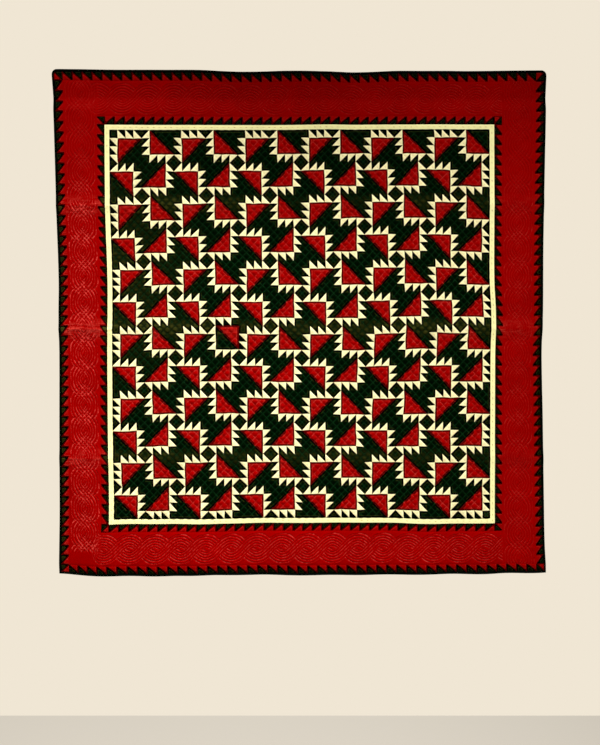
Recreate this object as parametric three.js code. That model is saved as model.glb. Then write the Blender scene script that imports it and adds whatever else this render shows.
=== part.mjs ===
// A patchwork quilt that hangs on a wall by its top edge: a square pieced centre, a cream frame, two rows
// of small triangles with a red border between them, and a folded binding round the rim. Its front faces
// -Y, the wall is the plane y = 0, and the origin is the middle of the top edge. All sizes are in
// millimetres.
import * as THREE from 'three';

// Sizes as sewn, with the quilt lying flat
const PATCH = 31.75;
const PATCHES_ACROSS = 48;
const FIELD_HALF = (PATCH * PATCHES_ACROSS) / 2;
const FRAME_WIDTH = 19;
const INNER_TEETH_DEPTH = PATCH;
const RED_BORDER_WIDTH = 138;
const OUTER_TEETH_DEPTH = 33;
const BINDING_WIDTH = 8;
const FRAME_HALF = FIELD_HALF + FRAME_WIDTH;
const BORDER_WIDTH = INNER_TEETH_DEPTH + RED_BORDER_WIDTH + OUTER_TEETH_DEPTH + BINDING_WIDTH;
const HALF = FRAME_HALF + BORDER_WIDTH;
const TOP_CORNER_RADIUS = BINDING_WIDTH;
const SEAM_GAP = 0.34;

// Thicknesses: the quilted cloth at its seams, and how far it swells between the rows of stitches
const CLOTH = 3;
const FIELD_PUFF = 2;
const CABLE_PUFF = 2.4;
const BINDING_EDGE = 3;
const BINDING_CROWN = 4.6;

// Cable quilting in the red border: the number of eyes along each panel, the net that raises one eye, and
// the share of its swelling that a strand keeps beside a crossing
const EYES_ACROSS = 16;
const EYES_UP = 19;
const CELLS_PER_EYE = 4;
const CELLS_OVER_CABLE = 4;
const STRAND_AT_CROSSING = 0.3;

// Steps along the plain strips, close enough to follow the ripples of the hem
const STEPS_ACROSS = 46;
const STEPS_UP = 34;

// How the sewn square hangs. Each row gives the places of the upright lines at one height: down is the
// share of the height below the top edge, and the others are x.
const UPRIGHT_LINES = [
  { down: 0.00, left: -986, frameLeft: -775, frameRight: 770, right: 978 },
  { down: 0.11, left: -976, frameLeft: -775, frameRight: 770, right: 974 },
  { down: 0.26, left: -969, frameLeft: -774, frameRight: 772, right: 970 },
  { down: 0.41, left: -960, frameLeft: -765, frameRight: 773, right: 967 },
  { down: 0.48, left: -960, frameLeft: -765, frameRight: 779, right: 966 },
  { down: 0.56, left: -957, frameLeft: -766, frameRight: 776, right: 961 },
  { down: 0.70, left: -957, frameLeft: -763, frameRight: 775, right: 966 },
  { down: 0.85, left: -956, frameLeft: -755, frameRight: 773, right: 968 },
  { down: 0.94, left: -956, frameLeft: -754, frameRight: 773, right: 968 },
  { down: 1.00, left: -957, frameLeft: -754, frameRight: 773, right: 974 },
];

// Each row gives the places of the level lines at one place across: across is the share of the width from
// the left, and the others are z. The top edge dips a little between the points that hold it.
const LEVEL_LINES = [
  { across: 0.00, top: 8, frameTop: -213, frameBottom: -1796, hem: -1994 },
  { across: 0.05, top: 7, frameTop: -213, frameBottom: -1796, hem: -1999 },
  { across: 0.14, top: 5, frameTop: -213, frameBottom: -1795, hem: -2001 },
  { across: 0.23, top: 5, frameTop: -214, frameBottom: -1796, hem: -2004 },
  { across: 0.30, top: 4, frameTop: -214, frameBottom: -1797, hem: -2001 },
  { across: 0.38, top: -5, frameTop: -215, frameBottom: -1793, hem: -1999 },
  { across: 0.47, top: 1, frameTop: -214, frameBottom: -1790, hem: -1998 },
  { across: 0.55, top: -1, frameTop: -212, frameBottom: -1790, hem: -1998 },
  { across: 0.61, top: -8, frameTop: -215, frameBottom: -1789, hem: -1997 },
  { across: 0.69, top: 0, frameTop: -212, frameBottom: -1790, hem: -1995 },
  { across: 0.78, top: -1, frameTop: -212, frameBottom: -1795, hem: -1995 },
  { across: 0.87, top: 0, frameTop: -212, frameBottom: -1793, hem: -1994 },
  { across: 0.95, top: 2, frameTop: -212, frameBottom: -1792, hem: -1988 },
  { across: 1.00, top: 3, frameTop: -212, frameBottom: -1792, hem: -1987 },
];

// Soft upright folds that stand off the wall: reach is half a fold's width as a share of the quilt's, out
// is how far it stands off, and it is full at the height of crest and gone at the height of fade.
const FOLDS = [
  { across: 0.095, reach: 0.088, out: 24, crest: 1.00, fade: 0.60 },
  { across: 0.188, reach: 0.062, out: 12, crest: 1.00, fade: 0.68 },
  { across: 0.282, reach: 0.048, out: 7, crest: 1.00, fade: 0.78 },
  { across: 0.369, reach: 0.066, out: 6, crest: 1.00, fade: 0.74 },
  { across: 0.497, reach: 0.093, out: 16, crest: 1.00, fade: 0.62 },
  { across: 0.620, reach: 0.093, out: 15, crest: 1.00, fade: 0.66 },
  { across: 0.734, reach: 0.093, out: 18, crest: 1.00, fade: 0.55 },
  { across: 0.868, reach: 0.072, out: 12, crest: 1.00, fade: 0.64 },
  { across: 0.968, reach: 0.072, out: 22, crest: 1.00, fade: 0.70 },
  { across: 0.380, reach: 0.070, out: 4, crest: 0.03, fade: 0.20 },
  { across: 0.610, reach: 0.075, out: 7, crest: 0.03, fade: 0.24 },
  { across: 0.785, reach: 0.060, out: 4, crest: 0.03, fade: 0.18 },
];

// Level ridges left by folding the quilt in quarters for storage: reach is half a ridge's width as a
// share of the height.
const CREASES = [
  { down: 0.261, reach: 0.024, out: 3.0 },
  { down: 0.507, reach: 0.026, out: 3.6 },
  { down: 0.763, reach: 0.024, out: 3.0 },
];

const RED = { color: 0x8e1012, roughness: 0.9, metalness: 0 };
const GREEN = { color: 0x16301d, roughness: 0.9, metalness: 0 };
const CREAM = { color: 0xefe4b4, roughness: 0.9, metalness: 0 };
const DARK_GREEN = { color: 0x0c1c12, roughness: 0.85, metalness: 0 };

// A column of a table at one place, on a smooth curve through its rows
function lookUp(rows, key, column, place) {
  let next = 1;
  while (next < rows.length - 1 && rows[next][key] < place) next += 1;
  const slopeAt = (index) => {
    const before = rows[Math.max(index - 1, 0)];
    const after = rows[Math.min(index + 1, rows.length - 1)];
    return (after[column] - before[column]) / (after[key] - before[key]);
  };
  const from = rows[next - 1];
  const to = rows[next];
  const step = to[key] - from[key];
  const t = (place - from[key]) / step;
  const ease = t * t * (3 - 2 * t);
  const leaving = slopeAt(next - 1) * step * t * (1 - t) * (1 - t);
  const arriving = slopeAt(next) * step * t * t * (1 - t);
  return from[column] + (to[column] - from[column]) * ease + leaving - arriving;
}

// A place across the flat quilt moves in proportion between the outer edges and the frame's edges
function between(flat, lowEdge, lowFrame, highFrame, highEdge) {
  if (flat < -FRAME_HALF) return THREE.MathUtils.mapLinear(flat, -HALF, -FRAME_HALF, lowEdge, lowFrame);
  if (flat > FRAME_HALF) return THREE.MathUtils.mapLinear(flat, FRAME_HALF, HALF, highFrame, highEdge);
  return THREE.MathUtils.mapLinear(flat, -FRAME_HALF, FRAME_HALF, lowFrame, highFrame);
}

// The two top corners are rounded: the last few millimetres of the square are drawn onto a quarter disc
function roundTopCorner(u, v) {
  const corner = HALF - TOP_CORNER_RADIUS;
  const beyond = new THREE.Vector2(Math.abs(u) - corner, v - corner);
  if (beyond.x <= 0 || beyond.y <= 0) return { u, v };
  beyond.multiplyScalar(Math.max(beyond.x, beyond.y) / beyond.length());
  return { u: Math.sign(u) * (corner + beyond.x), v: corner + beyond.y };
}

// A soft bump of height 1 at its middle and 0 at its ends
function bump(distance, reach) {
  return Math.abs(distance) < reach ? Math.cos((Math.PI / 2) * (distance / reach)) ** 2 : 0;
}

// How far the back of the quilt stands off the wall
function standOff(across, down) {
  let off = 0;
  for (const fold of FOLDS) {
    const share = THREE.MathUtils.clamp((down - fold.fade) / (fold.crest - fold.fade), 0, 1);
    off += fold.out * bump(across - fold.across, fold.reach) * share * share * (3 - 2 * share);
  }
  for (const crease of CREASES) off += crease.out * bump(down - crease.down, crease.reach);
  return off;
}

// The hanging place of a point of the flat quilt, u across and v up from its middle, at a height above
// the back
function hung(flatU, flatV, height) {
  const { u, v } = roundTopCorner(flatU, flatV);
  const across = (u + HALF) / (2 * HALF);
  const down = (HALF - v) / (2 * HALF);
  const upright = (column) => lookUp(UPRIGHT_LINES, 'down', column, down);
  const level = (column) => lookUp(LEVEL_LINES, 'across', column, across);
  return [
    between(u, upright('left'), upright('frameLeft'), upright('frameRight'), upright('right')),
    -standOff(across, down) - height,
    between(v, level('hem'), level('frameBottom'), level('frameTop'), level('top')),
  ];
}

// One piece of quilted cloth over a rectangle of the flat quilt: a net of cells on the front, raised by
// heightAt, a wider net on the back, and a rim between them
function clothPiece({ name, left, right, low, high, cells, backCells, heightAt, finish }) {
  const points = [];
  const faces = [];
  const inset = (edge, towards) => (Math.abs(edge) === HALF ? edge : edge + (towards * SEAM_GAP) / 2);
  const uRange = [inset(left, 1), inset(right, -1)];
  const vRange = [inset(low, 1), inset(high, -1)];

  const net = (count, height) => {
    const start = points.length;
    for (let j = 0; j <= count.up; j += 1) {
      for (let i = 0; i <= count.across; i += 1) {
        const u = THREE.MathUtils.lerp(...uRange, i / count.across);
        const v = THREE.MathUtils.lerp(...vRange, j / count.up);
        points.push(hung(u, v, height(i, j)));
      }
    }
    return (i, j) => start + j * (count.across + 1) + i;
  };
  const isInside = (i, j) => i > 0 && j > 0 && i < cells.across && j < cells.up;
  const front = net(cells, (i, j) => heightAt(i, j, isInside(i, j)));
  const back = net(backCells, () => 0);

  const fillNet = (count, at, facesFront) => {
    const face = (a, b, c) => faces.push(facesFront ? [a, b, c] : [a, c, b]);
    for (let j = 0; j < count.up; j += 1) {
      for (let i = 0; i < count.across; i += 1) {
        const quad = [at(i, j), at(i + 1, j), at(i + 1, j + 1), at(i, j + 1)];
        if ((i + j) % 2) quad.push(quad.shift());
        face(quad[0], quad[1], quad[2]);
        face(quad[0], quad[2], quad[3]);
      }
    }
  };
  fillNet(cells, front, true);
  fillNet(backCells, back, false);

  const rim = (frontLine, backLine) => {
    const ratio = (frontLine.length - 1) / (backLine.length - 1);
    const turn = Math.ceil(ratio / 2);
    for (let k = 0; k + 1 < backLine.length; k += 1) {
      for (let q = 0; q < ratio; q += 1) {
        const f = k * ratio + q;
        faces.push([frontLine[f], backLine[q < turn ? k : k + 1], frontLine[f + 1]]);
      }
      faces.push([frontLine[k * ratio + turn], backLine[k], backLine[k + 1]]);
    }
  };
  const line = (count, pick) => Array.from({ length: count + 1 }, (_, n) => pick(n));
  rim(line(cells.across, (n) => front(n, 0)), line(backCells.across, (n) => back(n, 0)));
  rim(line(cells.up, (n) => front(cells.across, n)), line(backCells.up, (n) => back(backCells.across, n)));
  rim(
    line(cells.across, (n) => front(cells.across - n, cells.up)),
    line(backCells.across, (n) => back(backCells.across - n, backCells.up)),
  );
  rim(line(cells.up, (n) => front(0, cells.up - n)), line(backCells.up, (n) => back(0, backCells.up - n)));

  const geometry = new THREE.BufferGeometry();
  geometry.setAttribute('position', new THREE.Float32BufferAttribute(points.flat(), 3));
  geometry.setIndex(faces.flat());
  geometry.computeVertexNormals();
  const mesh = new THREE.Mesh(geometry, new THREE.MeshStandardMaterial(finish));
  mesh.name = name;
  return mesh;
}

// The pieced centre, quilted in crossed diagonal rows: every second point of its net is a swelling
function centreField() {
  return clothPiece({
    name: 'centre_field',
    left: -FIELD_HALF,
    right: FIELD_HALF,
    low: -FIELD_HALF,
    high: FIELD_HALF,
    cells: { across: PATCHES_ACROSS, up: PATCHES_ACROSS },
    backCells: { across: PATCHES_ACROSS / 2, up: PATCHES_ACROSS / 2 },
    heightAt: (i, j, inside) => CLOTH + (inside && (i + j) % 2 ? FIELD_PUFF : 0),
    finish: GREEN,
  });
}

// Four strips of one kind round a square: the side ones run the full height, the others butt between
// them. Cells are counted along a strip and over it, heightAt takes them in that order and is told which
// strips stand upright, and the back's net is wider by backRatio.
function stripsRound({ name, innerHalf, width, cells, backRatio, heightAt, finish }) {
  const outerHalf = innerHalf + width;
  const strip = (place, span, alongCells, upright) => {
    const turned = (along, over) => (upright ? { across: over, up: along } : { across: along, up: over });
    return clothPiece({
      name: `${name}_${place}`,
      ...span,
      cells: turned(alongCells, cells.over),
      backCells: turned(alongCells / backRatio.along, cells.over / backRatio.over),
      heightAt: (i, j, inside) => heightAt(...(upright ? [j, i] : [i, j]), inside, upright),
      finish,
    });
  };
  const full = { low: -outerHalf, high: outerHalf };
  const butted = { left: -innerHalf, right: innerHalf };
  return [
    strip('left', { left: -outerHalf, right: -innerHalf, ...full }, cells.alongSide, true),
    strip('right', { left: innerHalf, right: outerHalf, ...full }, cells.alongSide, true),
    strip('top', { ...butted, low: innerHalf, high: outerHalf }, cells.alongTop, false),
    strip('bottom', { ...butted, low: -outerHalf, high: -innerHalf }, cells.alongTop, false),
  ];
}

// A plain strip of one cloth thickness
function plainStrips(name, innerHalf, width, finish) {
  return stripsRound({
    name,
    innerHalf,
    width,
    cells: { alongTop: STEPS_ACROSS, alongSide: STEPS_UP, over: 1 },
    backRatio: { along: 1, over: 1 },
    heightAt: () => CLOTH,
    finish,
  });
}

// The red border panels: two quilted strands cross between the eyes, where the middle is high, and part
// round each eye, where the middle is low. The side panels begin and end at a crossing, the others at an eye.
function redBorder(innerHalf) {
  const swellAt = (along, over, upright) => {
    const fromEye = upright ? along + CELLS_PER_EYE / 2 : along;
    const nearEye = 0.5 + 0.5 * Math.cos((2 * Math.PI * fromEye) / CELLS_PER_EYE);
    const isMiddle = over === CELLS_OVER_CABLE / 2;
    return isMiddle ? 1 - nearEye : THREE.MathUtils.lerp(STRAND_AT_CROSSING, 1, nearEye);
  };
  return stripsRound({
    name: 'red_border',
    innerHalf,
    width: RED_BORDER_WIDTH,
    cells: {
      alongTop: EYES_ACROSS * CELLS_PER_EYE,
      alongSide: EYES_UP * CELLS_PER_EYE,
      over: CELLS_OVER_CABLE,
    },
    backRatio: { along: 2, over: 1 },
    heightAt: (along, over, inside, upright) =>
      CLOTH + (inside ? CABLE_PUFF * swellAt(along, over, upright) : 0),
    finish: RED,
  });
}

// The binding: a folded strip, fuller along its middle
function binding(innerHalf) {
  return stripsRound({
    name: 'binding',
    innerHalf,
    width: BINDING_WIDTH,
    cells: { alongTop: STEPS_ACROSS, alongSide: STEPS_UP, over: 2 },
    backRatio: { along: 1, over: 2 },
    heightAt: (along, over, inside) => (inside ? BINDING_CROWN : BINDING_EDGE),
    finish: DARK_GREEN,
  });
}

const innerTeethHalf = FRAME_HALF;
const redBorderHalf = innerTeethHalf + INNER_TEETH_DEPTH;
const outerTeethHalf = redBorderHalf + RED_BORDER_WIDTH;
const bindingHalf = outerTeethHalf + OUTER_TEETH_DEPTH;

const quilt = new THREE.Group();
quilt.add(centreField());
quilt.add(...plainStrips('frame', FIELD_HALF, FRAME_WIDTH, CREAM));
quilt.add(...plainStrips('inner_teeth', innerTeethHalf, INNER_TEETH_DEPTH, GREEN));
quilt.add(...redBorder(redBorderHalf));
quilt.add(...plainStrips('outer_teeth', outerTeethHalf, OUTER_TEETH_DEPTH, GREEN));
quilt.add(...binding(bindingHalf));

export default quilt;
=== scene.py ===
import bpy
import numpy as np
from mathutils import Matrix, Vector


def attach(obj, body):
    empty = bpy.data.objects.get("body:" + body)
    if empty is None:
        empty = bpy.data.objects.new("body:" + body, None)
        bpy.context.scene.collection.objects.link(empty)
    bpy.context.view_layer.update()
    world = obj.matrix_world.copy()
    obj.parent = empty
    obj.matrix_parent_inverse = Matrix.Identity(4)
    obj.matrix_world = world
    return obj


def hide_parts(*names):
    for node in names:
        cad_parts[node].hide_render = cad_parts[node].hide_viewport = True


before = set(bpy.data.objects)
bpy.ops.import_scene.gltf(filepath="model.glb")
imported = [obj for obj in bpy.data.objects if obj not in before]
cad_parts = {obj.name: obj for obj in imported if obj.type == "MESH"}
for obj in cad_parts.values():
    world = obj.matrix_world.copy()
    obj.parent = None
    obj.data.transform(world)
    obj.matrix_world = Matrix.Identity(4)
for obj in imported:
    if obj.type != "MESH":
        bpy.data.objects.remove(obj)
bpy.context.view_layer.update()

# The pieced centre
# Twelve rows of twelve sawtooth units in red, dark green and cream cotton, sewn edge to edge by hand, so that
# their corners wander a little. Crossed diagonal rows of quilting hold the layers, and the cloth swells
# between them. The whole quilt hangs by its top edge, in soft folds that open towards the hem.
MM = 0.001
PATCH = 31.75 * MM
UNITS_ACROSS = 12
UNIT_PATCHES = 4
SQUARE_PATCHES = UNIT_PATCHES - 1
PATCHES_ACROSS = UNITS_ACROSS * UNIT_PATCHES
FIELD_HALF = PATCH * PATCHES_ACROSS / 2
FRAME_WIDTH = 19 * MM
INNER_TEETH_DEPTH = PATCH
RED_BORDER_WIDTH = 138 * MM
OUTER_TEETH_DEPTH = 33 * MM
BINDING_WIDTH = 8 * MM
FRAME_HALF = FIELD_HALF + FRAME_WIDTH
RED_INNER_HALF = FRAME_HALF + INNER_TEETH_DEPTH
RED_OUTER_HALF = RED_INNER_HALF + RED_BORDER_WIDTH
BINDING_INNER_HALF = RED_OUTER_HALF + OUTER_TEETH_DEPTH
HALF = BINDING_INNER_HALF + BINDING_WIDTH
TOP_CORNER_RADIUS = 22 * MM

# The x of the upright lines in millimetres, from the left, at shares of the height below the top edge
UPRIGHT_LINES = {
    "at": (0.00, 0.11, 0.26, 0.41, 0.48, 0.56, 0.70, 0.85, 0.94, 1.00),
    "left": (-986, -976, -969, -960, -960, -957, -957, -956, -956, -957),
    "frame_left": (-775, -775, -774, -765, -765, -766, -763, -755, -754, -754),
    "quarter_left": (-375, -375, -371, -370, -368, -367, -365, -363, -363, -363),
    "middle": (4, 4, 5, 8, 10, 8, 8, 11, 11, 11),
    "quarter_right": (373, 374, 380, 386, 391, 388, 378, 379, 379, 379),
    "frame_right": (770, 770, 772, 773, 779, 776, 775, 773, 773, 773),
    "right": (978, 974, 970, 967, 966, 961, 966, 968, 968, 974),
}
# The z of the level lines in millimetres, from the hem up, at shares of the width from the left
LEVEL_LINES = {
    "at": (0.00, 0.05, 0.14, 0.23, 0.30, 0.38, 0.47, 0.55, 0.61, 0.69, 0.78, 0.87, 0.95, 1.00),
    "hem": (-1994, -1999, -2001, -2004, -2001, -1999, -1998, -1998, -1997, -1995, -1995, -1994, -1988, -1987),
    "frame_bottom": (
        -1796, -1796, -1795, -1796, -1797, -1793, -1790, -1790, -1789, -1790, -1795, -1793, -1792, -1792,
    ),
    "quarter_down": (
        -1396, -1396, -1396, -1392, -1390, -1390, -1392, -1392, -1394, -1394, -1391, -1392, -1391, -1391,
    ),
    "middle": (
        -1010, -1010, -1010, -1009, -1008, -1010, -1011, -1012, -1012, -1006, -1004, -1008, -1008, -1008,
    ),
    "quarter_up": (-629, -629, -629, -624, -622, -620, -619, -616, -613, -613, -613, -620, -622, -622),
    "frame_top": (-213, -213, -213, -214, -214, -215, -214, -212, -215, -212, -212, -212, -212, -212),
    "top": (8, 7, 5, 5, 4, -5, 1, -1, -8, 0, -1, 0, 2, 3),
}
# Soft upright folds: half a fold's width as a share of the quilt's, how many millimetres it stands off, and
# the heights, as shares from the top, where it is full and where it is gone
FOLDS = (
    dict(across=0.095, reach=0.088, out=24, crest=1.00, fade=0.60),
    dict(across=0.188, reach=0.062, out=12, crest=1.00, fade=0.68),
    dict(across=0.282, reach=0.048, out=7, crest=1.00, fade=0.78),
    dict(across=0.369, reach=0.066, out=6, crest=1.00, fade=0.74),
    dict(across=0.497, reach=0.093, out=16, crest=1.00, fade=0.62),
    dict(across=0.620, reach=0.093, out=15, crest=1.00, fade=0.66),
    dict(across=0.734, reach=0.093, out=18, crest=1.00, fade=0.55),
    dict(across=0.868, reach=0.072, out=12, crest=1.00, fade=0.64),
    dict(across=0.968, reach=0.072, out=22, crest=1.00, fade=0.70),
    dict(across=0.380, reach=0.070, out=4, crest=0.03, fade=0.20),
    dict(across=0.610, reach=0.075, out=7, crest=0.03, fade=0.24),
    dict(across=0.785, reach=0.060, out=4, crest=0.03, fade=0.18),
)
# Level creases from storing the quilt folded in quarters: a broad ridge with a sharp one on it, and how
# strongly it shows at places across the quilt, where the dye is rubbed too
CREASE_PLACES = (0.00, 0.12, 0.30, 0.45, 0.62, 0.80, 0.90, 1.00)
CREASES = (
    dict(down=0.261, reach=0.024, out=3.0, line=0.0045, line_out=1.3,
         shows=(0.5, 1.0, 0.7, 0.1, 0.2, 0.6, 0.2, 0.1)),
    dict(down=0.507, reach=0.026, out=3.6, line=0.0050, line_out=1.6,
         shows=(1.0, 1.0, 0.7, 0.5, 0.5, 0.9, 0.6, 0.2)),
    dict(down=0.763, reach=0.024, out=3.0, line=0.0045, line_out=1.3,
         shows=(0.6, 0.6, 0.3, 0.3, 0.4, 0.2, 0.2, 0.1)),
)
# The held edge leans forward down to a level bend, and below it the cloth comes forward again and falls back
TOP_LEAN = dict(out=10, bend=0.052, ridge=9, rise=0.028, fade=0.30)
# The hem swings a little forward, and its last few centimetres turn back under
HEM_TURN = dict(out=5, swing=0.12, turn=0.024)
# Slack in the cloth: shallow waves, by their number across and down the quilt
SLACK = (
    dict(across=3.1, down=2.3, start=0.2, out=0.9),
    dict(across=5.7, down=-3.9, start=1.1, out=0.7),
    dict(across=2.2, down=6.1, start=2.6, out=0.8),
    dict(across=9.3, down=5.2, start=4.0, out=0.5),
)


def on_curve(table, column, place):
    """A column of a table at each place, on a smooth curve through its rows, in metres."""
    at = np.array(table["at"])
    value = np.array(table[column]) * MM
    slope = np.gradient(value, at, edge_order=1)
    slope[1:-1] = (value[2:] - value[:-2]) / (at[2:] - at[:-2])
    after = np.clip(np.searchsorted(at, place), 1, len(at) - 1)
    before = after - 1
    step = at[after] - at[before]
    t = (place - at[before]) / step
    ease = t * t * (3 - 2 * t)
    leaving = slope[before] * step * t * (1 - t) ** 2
    arriving = slope[after] * step * t * t * (1 - t)
    return value[before] + (value[after] - value[before]) * ease + leaving - arriving


def between(flat, table, place):
    """Where a flat place hangs, in proportion between the lines of a table on either side of it."""
    stops = (-HALF, -FRAME_HALF, -FIELD_HALF / 2, 0, FIELD_HALF / 2, FRAME_HALF, HALF)
    lines = np.stack([on_curve(table, column, place) for column in table if column != "at"])
    after = np.clip(np.searchsorted(stops, flat), 1, len(stops) - 1)
    low, high = np.take(stops, after - 1), np.take(stops, after)
    point = np.arange(len(flat))
    low_line, high_line = lines[after - 1, point], lines[after, point]
    return low_line + (high_line - low_line) * (flat - low) / (high - low)


def bump(distance, reach):
    """A soft bump of height 1 at its middle and 0 at its ends."""
    return np.cos(np.pi / 2 * np.clip(distance / reach, -1, 1)) ** 2


def smooth(share):
    """A share that leaves 0 and comes to 1 softly."""
    share = np.clip(share, 0, 1)
    return share * share * (3 - 2 * share)


def at_least(least, share):
    """From the least, where a share is 0, to 1, where it is 1."""
    return least + (1 - least) * share


def shares(u, v):
    """How far a flat place lies from the left edge and below the top edge, as shares of the quilt."""
    return (u + HALF) / (2 * HALF), (HALF - v) / (2 * HALF)


def stand_off(across, down):
    """How far the back of the quilt stands off the plane it hangs against."""
    off = np.zeros_like(across)
    for fold in FOLDS:
        full = smooth((down - fold["fade"]) / (fold["crest"] - fold["fade"]))
        off += fold["out"] * bump(across - fold["across"], fold["reach"]) * full
    for crease in CREASES:
        shown = np.interp(across, CREASE_PLACES, crease["shows"])
        off += crease["out"] * bump(down - crease["down"], crease["reach"])
        off += crease["line_out"] * shown * bump(down - crease["down"], crease["line"])
    below_bend = down - TOP_LEAN["bend"]
    off += TOP_LEAN["out"] * np.clip(-below_bend / TOP_LEAN["bend"], 0, 1)
    falls_back = smooth((below_bend - TOP_LEAN["rise"]) / TOP_LEAN["fade"])
    off += TOP_LEAN["ridge"] * smooth(below_bend / TOP_LEAN["rise"]) * (1 - falls_back)
    above_hem = 1 - down
    swung = 1 - smooth((above_hem - HEM_TURN["turn"]) / HEM_TURN["swing"])
    off += HEM_TURN["out"] * swung * smooth(above_hem / HEM_TURN["turn"])
    for wave in SLACK:
        turn = 2 * np.pi * (wave["across"] * across + wave["down"] * down) + wave["start"]
        off += wave["out"] * (0.5 + 0.5 * np.sin(turn))
    return off * MM


def hung(u, v, height):
    """The hanging places of points of the flat quilt, u across and v up from its middle, at a height above
    its back. The flat quilt's two upper corners are drawn in to be round."""
    corner = HALF - TOP_CORNER_RADIUS
    past_side = np.abs(u) - corner
    past_top = v - corner
    in_corner = (past_side > 0) & (past_top > 0)
    pull = np.where(in_corner, np.maximum(past_side, past_top) / np.hypot(past_side, past_top), 1)
    u = np.where(in_corner, np.sign(u) * (corner + past_side * pull), u)
    v = np.where(in_corner, corner + past_top * pull, v)
    across, down = shares(u, v)
    x = between(u, UPRIGHT_LINES, down)
    y = -stand_off(across, down) - height
    z = between(v, LEVEL_LINES, across)
    return np.stack([x, y, z], axis=-1)


def rubbed(u, v):
    """How much a place has faded along the storage creases, from 0 to 1."""
    across, down = shares(u, v)
    fade = np.zeros_like(across)
    for crease in CREASES:
        shown = np.interp(across, CREASE_PLACES, crease["shows"])
        fade = np.maximum(fade, shown * bump(down - crease["down"], crease["reach"]))
    return fade


# Each patch is cut by both its diagonals into four quarters, and a quarter is of one cloth
GREEN, RED, CREAM = range(3)
QUARTERS = 4
NORTH, EAST, SOUTH, WEST = range(QUARTERS)
HALVES = {
    "upper_right": (NORTH, EAST),
    "lower_right": (EAST, SOUTH),
    "lower_left": (SOUTH, WEST),
    "upper_left": (WEST, NORTH),
}
# The lines of a patch's net, closer together by its seams
STEP_SHARES = np.array((0, 0.07, 0.20, 0.35, 0.50, 0.65, 0.80, 0.93))
HAND_WANDER = 0.9 * MM
HAND_WANDER_MOST = 1.8 * MM
# By a seam the cloth is sunk, with painted shade in its ditch (painted light by it on the cream), the puffs
# are held down, and the edge of the allowance shows
SEAM_REACH = 7.2 * MM
SEAM_SHADE_FULL = 6.0 * MM
HELD_REACH = 11 * MM
SEAM_ALLOWANCE = 9.0 * MM
ALLOWANCE_EDGE = 1.5 * MM


def split_patch(half, cloth, other):
    """A patch halved along a diagonal, in two cloths."""
    patch = np.full(QUARTERS, other)
    patch[list(HALVES[half])] = cloth
    return patch


def sawtooth_unit():
    """A square halved in red and green, with a row of teeth on its upper and left sides."""
    unit = np.full((UNIT_PATCHES, UNIT_PATCHES, QUARTERS), GREEN)
    unit[0, 1:] = split_patch("upper_right", GREEN, CREAM)
    unit[1:, 0] = split_patch("upper_right", CREAM, GREEN)
    for row, column in np.ndindex(SQUARE_PATCHES, SQUARE_PATCHES):
        past_diagonal = row + column - (SQUARE_PATCHES - 1)
        if past_diagonal < 0:
            unit[row + 1, column + 1] = RED
        elif past_diagonal == 0:
            unit[row + 1, column + 1] = split_patch("upper_left", RED, GREEN)
    return unit


def quarter_turn(unit):
    """A unit turned a quarter to the left, and the quarters of its patches with it."""
    return np.roll(np.rot90(unit), -1, axis=2)


def hand_wander(rows, columns, seed):
    """How far the corners of hand-sewn patches stray from their places, inside the edges of the whole."""
    wander = np.random.default_rng(seed).normal(0, HAND_WANDER, (2, rows + 1, columns + 1))
    wander = np.clip(wander, -HAND_WANDER_MOST, HAND_WANDER_MOST)
    wander[:, [0, -1], :] = 0
    wander[:, :, [0, -1]] = 0
    return wander


def on_net(net, across, down):
    """The values of a net at places between its points, counted in its steps across and down."""
    row = np.clip(down.astype(int), 0, net.shape[-2] - 2)
    column = np.clip(across.astype(int), 0, net.shape[-1] - 2)
    p = across - column
    q = down - row
    upper = net[..., row, column] * (1 - p) + net[..., row, column + 1] * p
    lower = net[..., row + 1, column] * (1 - p) + net[..., row + 1, column + 1] * p
    return upper * (1 - q) + lower * q


def pieced_net(cloths, edges_across, edges_down, wander, plain_side=None):
    """The points of a pieced rectangle, with the patch that each lies in and how far it is from a seam.
    Along a plain side the next piece is of the same cloth, so that its seam doesn't show."""
    rows, columns = cloths.shape[:2]
    across = np.append((np.arange(columns)[:, None] + STEP_SHARES).ravel(), columns)
    down = np.append((np.arange(rows)[:, None] + STEP_SHARES).ravel(), rows)
    down, across = (line.ravel() for line in np.meshgrid(down, across, indexing="ij"))
    row = np.minimum(down.astype(int), rows - 1)
    column = np.minimum(across.astype(int), columns - 1)
    p = across - column
    q = down - row
    strayed = on_net(wander, across, down)
    u = np.interp(across, np.arange(columns + 1), edges_across) + strayed[0]
    v = np.interp(down, np.arange(rows + 1), edges_down) + strayed[1]

    level_seam = np.ones((rows + 1, columns), bool)
    level_seam[1:-1] = cloths[:-1, :, SOUTH] != cloths[1:, :, NORTH]
    upright_seam = np.ones((rows, columns + 1), bool)
    upright_seam[:, 1:-1] = cloths[:, :-1, EAST] != cloths[:, 1:, WEST]
    level_seam[0] &= plain_side != "top"
    level_seam[-1] &= plain_side != "bottom"
    upright_seam[:, 0] &= plain_side != "left"
    upright_seam[:, -1] &= plain_side != "right"
    falling_seam = cloths[..., NORTH] != cloths[..., WEST]
    rising_seam = cloths[..., NORTH] != cloths[..., EAST]
    far = 1.0
    off_seam = np.minimum.reduce([
        np.where(level_seam[row, column], q, far),
        np.where(level_seam[row + 1, column], 1 - q, far),
        np.where(upright_seam[row, column], p, far),
        np.where(upright_seam[row, column + 1], 1 - p, far),
        np.where(falling_seam[row, column], np.abs(p - q) / np.sqrt(2), far),
        np.where(rising_seam[row, column], np.abs(p + q - 1) / np.sqrt(2), far),
    ]) * PATCH
    return dict(u=u, v=v, across=across, down=down, row=row, column=column, p=p, q=q, off_seam=off_seam)


def near_seam(off_seam, reach):
    """From 1 on a seam to 0 at a distance from it."""
    return np.clip(1 - off_seam / reach, 0, 1)


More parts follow.
